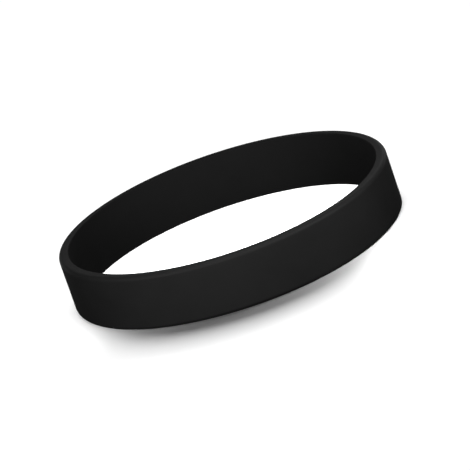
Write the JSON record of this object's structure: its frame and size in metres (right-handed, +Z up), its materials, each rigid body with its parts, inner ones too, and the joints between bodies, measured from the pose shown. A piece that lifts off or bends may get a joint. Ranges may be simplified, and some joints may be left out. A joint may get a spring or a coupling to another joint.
{
  "type": "silicone wristband",
  "caption": "Plain endless wristband moulded in matte black silicone rubber, a flat-walled ring with rounded edges that stretches over the hand and sits round the wrist.",
  "frame": {"origin": "middle of the lower rim, on the plane that the band rests on", "axes": "+Z up along the ring's axis, from the lower rim to the upper rim; the band is round, so X and Y are alike"},
  "size_m": [0.0718, 0.0718, 0.012],
  "materials": {
    "silicone": "matte black, even fine mould texture, soft sheen on the rounded edges"
  },
  "bodies": {
    "root": {"band": "silicone"}
  },
  "joints": []
}
